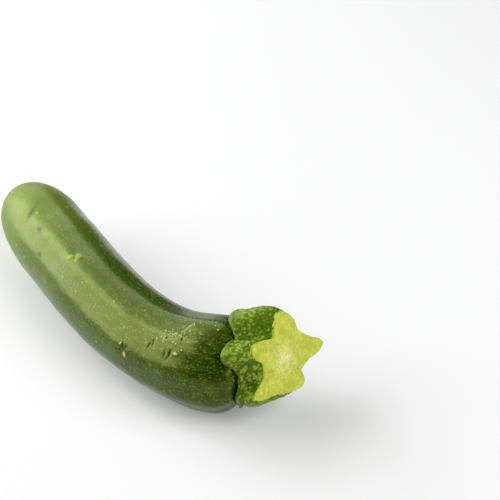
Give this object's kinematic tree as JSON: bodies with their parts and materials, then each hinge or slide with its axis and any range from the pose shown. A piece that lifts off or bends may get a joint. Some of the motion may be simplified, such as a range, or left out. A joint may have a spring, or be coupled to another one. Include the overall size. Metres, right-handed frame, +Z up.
{
  "type": "zucchini",
  "caption": "Long, slightly curved green squash lying on its side, with a ridged star-shaped stub of cut stem; displayed, cut or cooked.",
  "frame": {"origin": "on the surface that it lies on, under the middle of the bounding box", "axes": "+Z up, +X along the fruit from the blossom end to the stem, the hollow side of the bend toward +Y"},
  "size_m": [0.2102, 0.0732, 0.0537],
  "materials": {
    "fruit_skin": "smooth waxy dark green skin with fine pale speckles, paler toward the blossom end",
    "stem_green": "rough bright green ridges, pale yellow-green moist cut face"
  },
  "bodies": {
    "root": {"fruit": "fruit_skin", "stem": "stem_green"}
  },
  "joints": []
}
